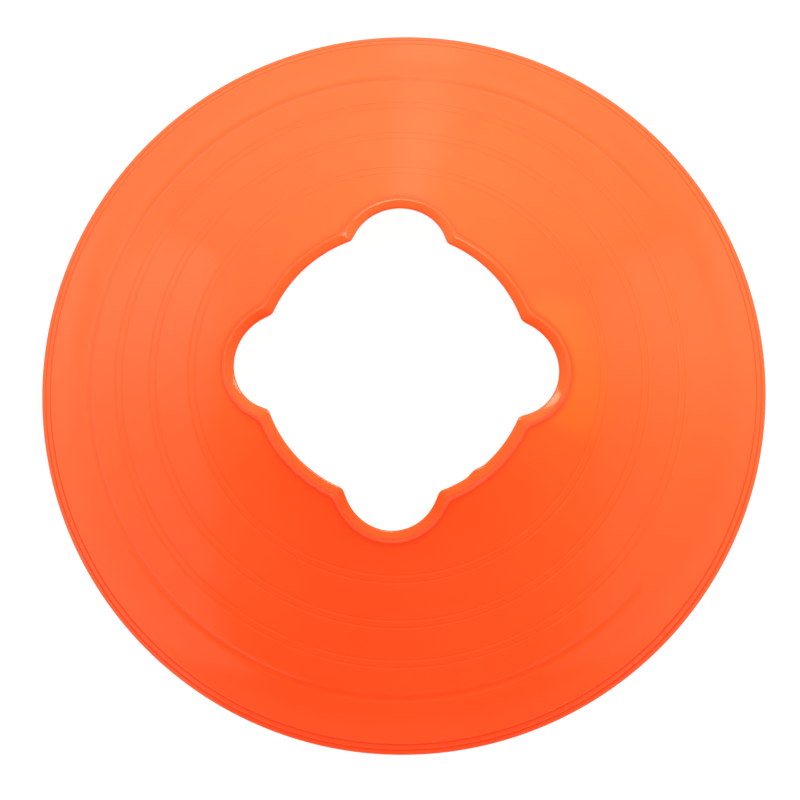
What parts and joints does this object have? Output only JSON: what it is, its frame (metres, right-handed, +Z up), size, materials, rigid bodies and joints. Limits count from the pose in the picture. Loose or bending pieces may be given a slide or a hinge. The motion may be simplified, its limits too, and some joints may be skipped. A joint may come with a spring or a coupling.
{
  "type": "sports marker cone",
  "caption": "Low cone-shaped disc that marks out a sports ground, with a lipped, lobed opening at the top, fine moulded rings and a stepped foot.",
  "frame": {"origin": "centre of the ground face of the foot ring", "axes": "+Z up along the cone's axis; the opening's lobes point along +X, -X, +Y and -Y, and the plain stretch of the brim groove is centred on +X"},
  "size_m": [0.19, 0.19, 0.05],
  "materials": {
    "orange_plastic": "smooth, slightly waxy moulded polyethylene in fluorescent orange, a little translucent"
  },
  "bodies": {
    "root": {"marker_cone": "orange_plastic"}
  },
  "joints": []
}
